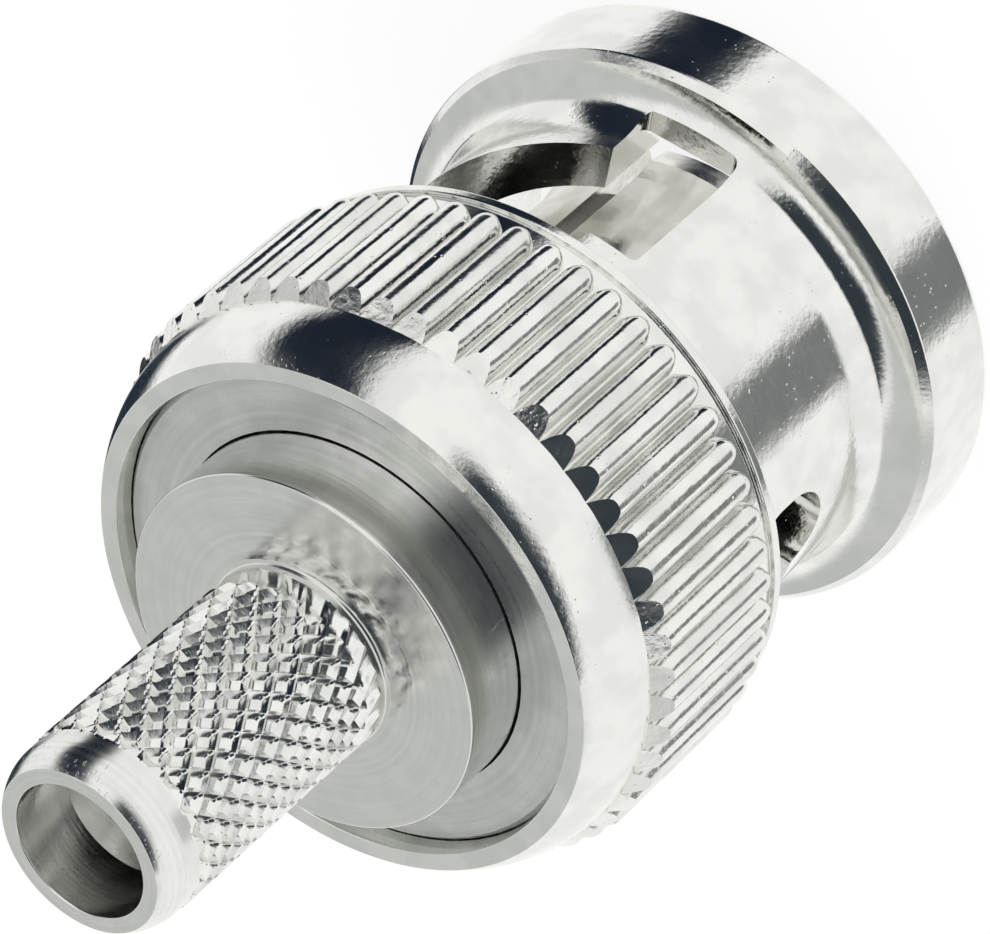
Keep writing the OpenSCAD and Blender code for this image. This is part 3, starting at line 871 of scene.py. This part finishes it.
class KnurlGrowth(Growth):
    """A sleeve with two sets of slanted ridges that cross, and flat-floored pits between them."""

    name = "diamond_knurl"
    inputs = {
        "Starts": 24,
        "Bottom": 16.5,
        "Rows": 16,
        "Row Height": 0.4126,
        "Twist": 20.35,
        "Crest": 2.31,
        "Floor": 2.15,
        "Plain": 2.26,
        "Core": 2.0,
        "Fade": 1.2,
        "First End": 1.0,
    }
    fine = 8
    rows = 16

    def build(self) -> bpy.types.NodeSocket:
        """Rolls a grid into a closed sleeve whose columns follow one set of ridges; see Growth.build."""
        w, math_ = self.wiring, self.wiring.math
        starts, fine = self.inputs["Starts"], self.fine
        columns, lines = starts * fine, self.rows * fine
        grid = w.add(
            "GeometryNodeMeshGrid",
            {"Size X": 1.0, "Size Y": 1.0, "Vertices X": columns + 1, "Vertices Y": lines + 4},
        ).outputs["Mesh"]
        x, y, _ = w.add("ShaderNodeSeparateXYZ", {0: w.add("GeometryNodeInputPosition").outputs[0]}).outputs
        column = math_("ROUND", math_("MULTIPLY", math_("ADD", x, 0.5), float(columns)))
        line = math_("ROUND", math_("MULTIPLY", math_("ADD", y, 0.5), float(lines + 3)))
        u = math_("DIVIDE", column, float(fine))
        inner_top = math_("COMPARE", line, float(lines + 1), 0.1)
        inner_low = math_("COMPARE", line, float(lines + 2), 0.1)
        inner = math_("ADD", inner_top, inner_low)
        outer_line = math_("MULTIPLY", math_("MINIMUM", line, float(lines)), math_("LESS_THAN", line, lines + 1.5))
        v = math_("DIVIDE", outer_line, float(fine))
        first = self.ridge(u)
        second = self.ridge(math_("ADD", u, v))
        above = math_("SUBTRACT", float(self.rows), v)
        rim = math_("MULTIPLY", w.ramp(v, 0.0, self.size("Fade")), w.ramp(above, 0.0, self.size("Fade")))
        first = math_("MULTIPLY", first, w.ramp(v, self.size("First End"), math_("ADD", self.size("First End"), 0.6)))
        crest = math_("MAXIMUM", first, second)
        ends = math_("MULTIPLY", w.ramp(v, 0.0, 0.15), w.ramp(above, 0.0, 0.3))
        floor = math_("ADD", self.size("Plain"), math_("MULTIPLY", rim, math_("SUBTRACT", self.size("Floor"), self.size("Plain"))))
        lift = math_("MULTIPLY", math_("MULTIPLY", crest, ends), math_("SUBTRACT", self.size("Crest"), floor))
        skin = math_("ADD", floor, lift)
        radius = math_("ADD", math_("MULTIPLY", skin, math_("SUBTRACT", 1.0, inner)), math_("MULTIPLY", inner, self.size("Core")))
        height = math_("MULTIPLY", v, self.size("Row Height"))
        slant = math_("MULTIPLY", height, math_("RADIANS", self.size("Twist")))
        angle = math_("ADD", math_("MULTIPLY", u, math.tau / starts), slant)
        place = w.add(
            "ShaderNodeCombineXYZ",
            {
                0: math_("MULTIPLY", radius, math_("COSINE", angle)),
                1: math_("MULTIPLY", radius, math_("SINE", angle)),
                2: math_("ADD", height, self.size("Bottom")),
            },
        ).outputs[0]
        sleeve = w.add("GeometryNodeSetPosition", {"Geometry": grid, "Position": place}).outputs[0]
        sleeve = w.add("GeometryNodeMergeByDistance", {"Geometry": sleeve, "Distance": 0.0005}).outputs[0]
        sleeve = w.add("GeometryNodeTriangulate", {"Mesh": sleeve}, quad_method="SHORTEST_DIAGONAL").outputs[0]
        return w.add("GeometryNodeTransform", {"Geometry": sleeve, "Scale": (MM, MM, MM)}).outputs[0]

    def ridge(self, along: bpy.types.NodeSocket) -> bpy.types.NodeSocket:
        """Gives 1 on the ridges, which lie on whole numbers, and 0 on the floors between them."""
        math_ = self.wiring.math
        off = math_("ABSOLUTE", math_("SUBTRACT", math_("FRACT", math_("ADD", along, 0.5)), 0.5))
        return math_("SUBTRACT", 1.0, math_("MULTIPLY", off, 4.2), clamp=True)


# ---------------------------------------------------------------- the plug


@dataclass
class CouplingNut:
    """The bayonet nut: a turned shell with two stud ways, and the ribs of its grip. Millimetres."""

    length: float = 15.0
    flange_r: float = 7.25
    flange_t: float = 2.4
    neck_r: float = 6.0
    bore_r: float = 4.9
    cavity_r: float = 5.5
    seat_z: float = 12.0
    ring_z: float = 14.04
    ring_seat_r: float = 6.0
    lip_r: float = 6.42
    collar: Point = (6.22, 2.81)
    fillet_end: float = 3.71
    grip_z: float = 8.3
    grip_end: float = 13.3
    root_r: float = 6.98
    rim_r: float = 7.09
    rim_w: float = 0.26
    entry_w: float = 2.5
    groove_r: float = 5.65
    window_z: float = 2.71
    entry_end_z: float = 6.84
    lock_z: float = 6.07
    detent_r: float = 1.2
    slot_back_z: float = 7.7
    cam_start: float = 3.71
    cam_end: float = 5.85
    rib_count: int = 54

    def build(self, worn: dict[str, bpy.types.Material], growths: dict[str, Growth]) -> None:
        """Builds the shell and its ribs.

        Args:
            worn: The materials, by name.
            growths: The trees of the repeated forms, by name.
        """
        shell = turned("nut_shell", self.outline())
        carve(shell, [cutter for turn in (0.0, 180.0) for cutter in self.stud_way(turn)])
        smooth(shell)
        shell.data.materials.append(worn["nut_nickel"])
        ribs = growths["grip_ribs"].grow(
            "nut_ribs",
            worn["grip_nickel"],
            {"Count": self.rib_count, "Root Radius": self.root_r, "Back": self.grip_end - 0.01},
        )
        smooth(ribs, 40.0)
        for piece in (shell, ribs):
            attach(piece, "nut")
            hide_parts("coupling_nut")
            log.info("%s has %d faces", piece.name, len(piece.data.polygons))

    def outline(self) -> Outline:
        """Gives the shell's outline, from the mating face up the outside and back down the bore."""
        dish = circle_through((self.flange_r - 0.19, self.flange_t), self.collar, 1.3)
        fillet_w, fillet_h = self.collar[0] - self.neck_r, self.fillet_end - self.collar[1]
        fillet = (fillet_w**2 + fillet_h**2) / (2 * fillet_w)
        bevel_w, bevel_h = self.root_r - self.lip_r, self.length - self.grip_end
        bevel = (bevel_w**2 + bevel_h**2) / (2 * bevel_w)
        return (
            Outline()
            .corner(self.bore_r + 0.12, 0.0, 0.04)
            .corner(self.flange_r, 0.0, 0.13)
            .corner(self.flange_r, self.flange_t - 0.19, 0.07)
            .arc((self.flange_r - 0.19, self.flange_t), self.collar, dish, 12)
            .arc(self.collar, (self.neck_r, self.fillet_end), (self.neck_r + fillet, self.fillet_end), 8)
            .corner(self.neck_r, self.grip_z, 0.04)
            .corner(self.rim_r, self.grip_z, 0.05)
            .corner(self.rim_r, self.grip_z + self.rim_w, 0.05)
            .corner(self.root_r, self.grip_z + self.rim_w, 0.02)
            .arc((self.root_r, self.grip_end), (self.lip_r + 0.04, self.length - 0.1), (self.root_r - bevel, self.grip_end), 16)
            .corner(self.lip_r, self.length, 0.04)
            .corner(self.ring_seat_r, self.length, 0.05)
            .corner(self.ring_seat_r, self.ring_z, 0.0)
            .corner(self.cavity_r, self.ring_z, 0.03)
            .corner(self.cavity_r, self.seat_z, 0.0)
            .corner(self.bore_r, self.seat_z, 0.05)
            .corner(self.bore_r, 0.12, 0.04)
        )

    def stud_way(self, turn: float) -> list[bpy.types.Object]:
        """Makes the solids that cut one stud's way in.

        Args:
            turn: Angle of its detent from +X, in degrees.

        Returns:
            The groove's, window's, cam's and detent's solids.
        """
        half, beyond = self.entry_w / 2, self.flange_r + 0.5
        groove = [(-half, -0.5), (half, -0.5), (half, self.window_z + 0.5), (-half, self.window_z + 0.5)]
        window = [(-half, self.window_z), (half, self.window_z), (half, self.entry_end_z), (-half, self.entry_end_z)]
        keyhole = [
            (
                self.detent_r * math.cos(a),
                (self.lock_z if a > math.pi else self.slot_back_z - self.detent_r) + self.detent_r * math.sin(a),
            )
            for a in (math.tau * (i + 0.5) / 48 for i in range(48))
        ]
        return [
            prism("groove", rounded_loop(groove, 0.1), (3.0, self.groove_r), turn - 90.0),
            prism("window", rounded_loop(window, 0.18), (3.0, beyond), turn - 90.0),
            self.cam(turn),
            prism("keyhole", keyhole, (3.0, beyond), turn),
        ]

    def cam(self, turn: float, steps: int = 45) -> bpy.types.Object:
        """Makes the solid of the cam slot, which rises a quarter turn from the window to the detent.

        Args:
            turn: Angle of the detent from +X, in degrees.
            steps: Facets along the cam.

        Returns:
            The solid.
        """
        points: list[tuple[float, float, float]] = []
        for i in range(steps + 1):
            angle = math.radians(turn - 90.0 + 90.0 * i / steps)
            low = self.cam_start + (self.cam_end - self.cam_start) * i / steps
            for r, z in ((4.7, low), (7.75, low), (7.75, self.slot_back_z), (4.7, self.slot_back_z)):
                points.append((r * MM * math.cos(angle), r * MM * math.sin(angle), z * MM))
        faces = [
            (4 * i + k, 4 * i + (k + 1) % 4, 4 * i + 4 + (k + 1) % 4, 4 * i + 4 + k) for i in range(steps) for k in range(4)
        ]
        return new_piece("cam", points, [*faces, (3, 2, 1, 0), (4 * steps, 4 * steps + 1, 4 * steps + 2, 4 * steps + 3)])


@dataclass
class PlugBody:
    """The body: a turned boss and stem, and the knurl that grips the cable's braid. Millimetres."""

    flange: Point = (5.42, 0.8)
    seat_z: float = 12.0
    boss_r: float = 4.47
    boss_end: float = 16.34
    stem_r: float = 2.28
    stem_end: float = 24.1
    stem_end_r: float = 2.02
    nose: float = 0.8
    bore_r: float = 1.65
    shank: Point = (3.82, 14.2)
    insulator: Point = (3.5, 15.2)
    knurl_start: float = 16.5
    knurl_end: float = 22.9
    knurl_core: float = 2.06

    def build(self, worn: dict[str, bpy.types.Material], growths: dict[str, Growth]) -> None:
        """Builds the turned body and its knurl.

        Args:
            worn: The materials, by name.
            growths: The trees of the repeated forms, by name.
        """
        body = turned("body_turned", self.outline(), 216)
        smooth(body)
        body.data.materials.append(worn["body_nickel"])
        knurl = growths["diamond_knurl"].grow("stem_knurl", worn["stem_nickel"], {})
        smooth(knurl, 50.0)
        for piece in (body, knurl):
            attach(piece, "plug_body")
            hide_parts("connector_body")
            log.info("%s has %d faces", piece.name, len(piece.data.polygons))

    def outline(self) -> Outline:
        """Gives the body's outline, from its flange up the outside and back down the bore."""
        nose_w = self.stem_r - self.stem_end_r
        nose_r = (nose_w**2 + self.nose**2) / (2 * nose_w)
        nose_z = self.stem_end - self.nose
        return (
            Outline()
            .corner(self.shank[0], self.seat_z, 0.03)
            .corner(self.flange[0], self.seat_z, 0.05)
            .corner(self.flange[0], self.seat_z + self.flange[1], 0.05)
            .corner(self.boss_r, self.seat_z + self.flange[1], 0.03)
            .corner(self.boss_r, self.boss_end, 0.06)
            .corner(self.stem_r, self.boss_end, 0.12)
            .corner(self.stem_r, self.knurl_start + 0.06, 0.0)
            .corner(self.knurl_core, self.knurl_start + 0.06, 0.0)
            .corner(self.knurl_core, self.knurl_end + 0.06, 0.0)
            .corner(self.stem_r, self.knurl_end + 0.06, 0.0)
            .arc((self.stem_r, nose_z), (self.stem_end_r + 0.02, self.stem_end - 0.08), (self.stem_r - nose_r, nose_z), 12)
            .corner(self.stem_end_r, self.stem_end, 0.03)
            .corner(self.bore_r, self.stem_end, 0.05)
            .corner(self.bore_r, self.insulator[1], 0.0)
            .corner(self.insulator[0], self.insulator[1], 0.0)
            .corner(self.insulator[0], self.shank[1], 0.0)
            .corner(self.shank[0], self.shank[1], 0.0)
        )


def circle_through(start: Point, end: Point, radius: float) -> Point:
    """Gives the centre of a circle through two points, on the right going from the first to the second."""
    dx, dy = end[0] - start[0], end[1] - start[1]
    side = math.sqrt(radius**2 / (dx * dx + dy * dy) - 0.25)
    return ((start[0] + end[0]) / 2 + side * dy, (start[1] + end[1]) / 2 - side * dx)


def rounded_loop(points: list[Point], radius: float, steps: int = 6) -> list[Point]:
    """Rounds the corners of a closed loop."""
    outline = Outline(steps, 0.0)
    for x, y in points:
        outline.corner(x, y, radius)
    loop = outline.points()
    return [p for i, p in enumerate(loop) if math.dist(p, loop[i - 1]) > 1e-6]


@dataclass
class CarriedPieces:
    """The pieces that keep the frame's shape: washers, contacts, insulator and gasket."""

    def dress(self, worn: dict[str, bpy.types.Material]) -> None:
        """Gives each piece its material.

        Args:
            worn: The materials, by name.
        """
        finishes = {
            "retaining_ring": "ring_nickel",
            "thrust_washer": "washer_steel",
            "wave_washer_rear": "washer_steel",
            "wave_washer_front": "washer_steel",
            "outer_contact": "contact_nickel",
            "insulator": "ptfe",
            "centre_contact": "gold_plate",
            "gasket": "silicone",
        }
        for node, name in finishes.items():
            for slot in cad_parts[node].material_slots:
                slot.material = worn[name]
            log.info("%s wears %s", node, name)


def main() -> None:
    """Builds the studio and the plug."""
    logging.basicConfig(level=logging.INFO, format="%(name)s: %(message)s")
    bpy.context.scene.view_settings.view_transform = "Standard"
    Studio().build()
    groups = {kind.name: kind() for kind in (CastSkin, LatheMarks, DragMarks)}
    worn = {finish.name: finish.build(groups) for finish in FINISHES}
    growths = {kind.name: kind() for kind in (RibGrowth, KnurlGrowth)}
    CouplingNut().build(worn, growths)
    PlugBody().build(worn, growths)
    CarriedPieces().dress(worn)


if __name__ == "__main__":
    main()
